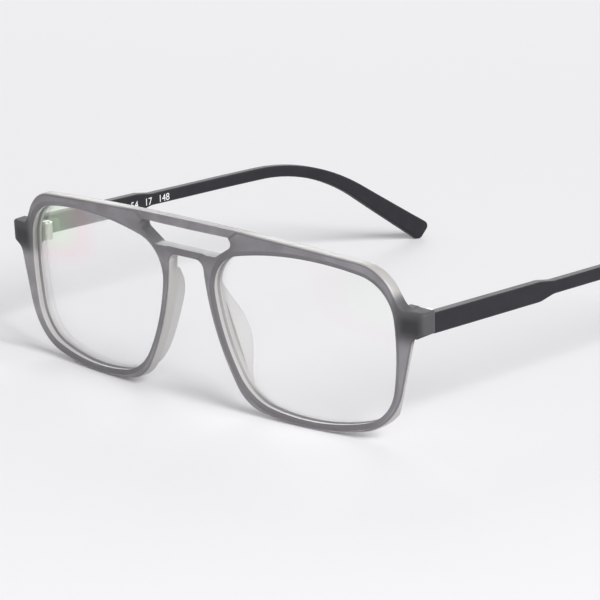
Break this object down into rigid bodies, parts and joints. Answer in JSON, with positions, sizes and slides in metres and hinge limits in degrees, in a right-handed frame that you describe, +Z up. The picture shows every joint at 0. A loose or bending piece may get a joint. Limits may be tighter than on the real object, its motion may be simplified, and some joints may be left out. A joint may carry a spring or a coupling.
{
  "type": "eyeglasses",
  "caption": "Square full-rim eyeglasses with a slotted keyhole bridge, moulded nose pads, clear lenses and slim temples on folding hinges.",
  "frame": {"origin": "on the ground, in the middle of the open eyeglasses' bounding box; they stand on the lower rims and the temple tips", "axes": "+X to the wearer's left, +Y back along the temples, +Z up"},
  "size_m": [0.1396, 0.1556, 0.0458],
  "materials": {
    "front_plastic": "frosted grey, faintly see-through",
    "temple_plastic": "matt black, soft to the touch",
    "lens_clear": "clear, with a thin anti-reflection coating",
    "hinge_metal": "satin nickel",
    "screw_metal": "bright turned steel"
  },
  "bodies": {
    "front": {"front_frame": "front_plastic", "lens_left": "lens_clear", "lens_right": "lens_clear", "front_hinge_left": "hinge_metal", "front_hinge_right": "hinge_metal", "hinge_screw_left": "screw_metal", "hinge_screw_right": "screw_metal"},
    "temple_left": {"temple_left": "temple_plastic", "temple_hinge_left": "hinge_metal"},
    "temple_right": {"temple_right": "temple_plastic", "temple_hinge_right": "hinge_metal"}
  },
  "joints": [
    {"name": "temple_left_fold", "type": "hinge", "parent": "front", "child": "temple_left", "pos_m": [0.0649, -0.06374, 0.0296], "axis": [0, 0, 1], "range_deg": [0, 90]},
    {"name": "temple_right_fold", "type": "hinge", "parent": "front", "child": "temple_right", "pos_m": [-0.0649, -0.06374, 0.0296], "axis": [0, 0, -1], "range_deg": [0, 84]}
  ]
}
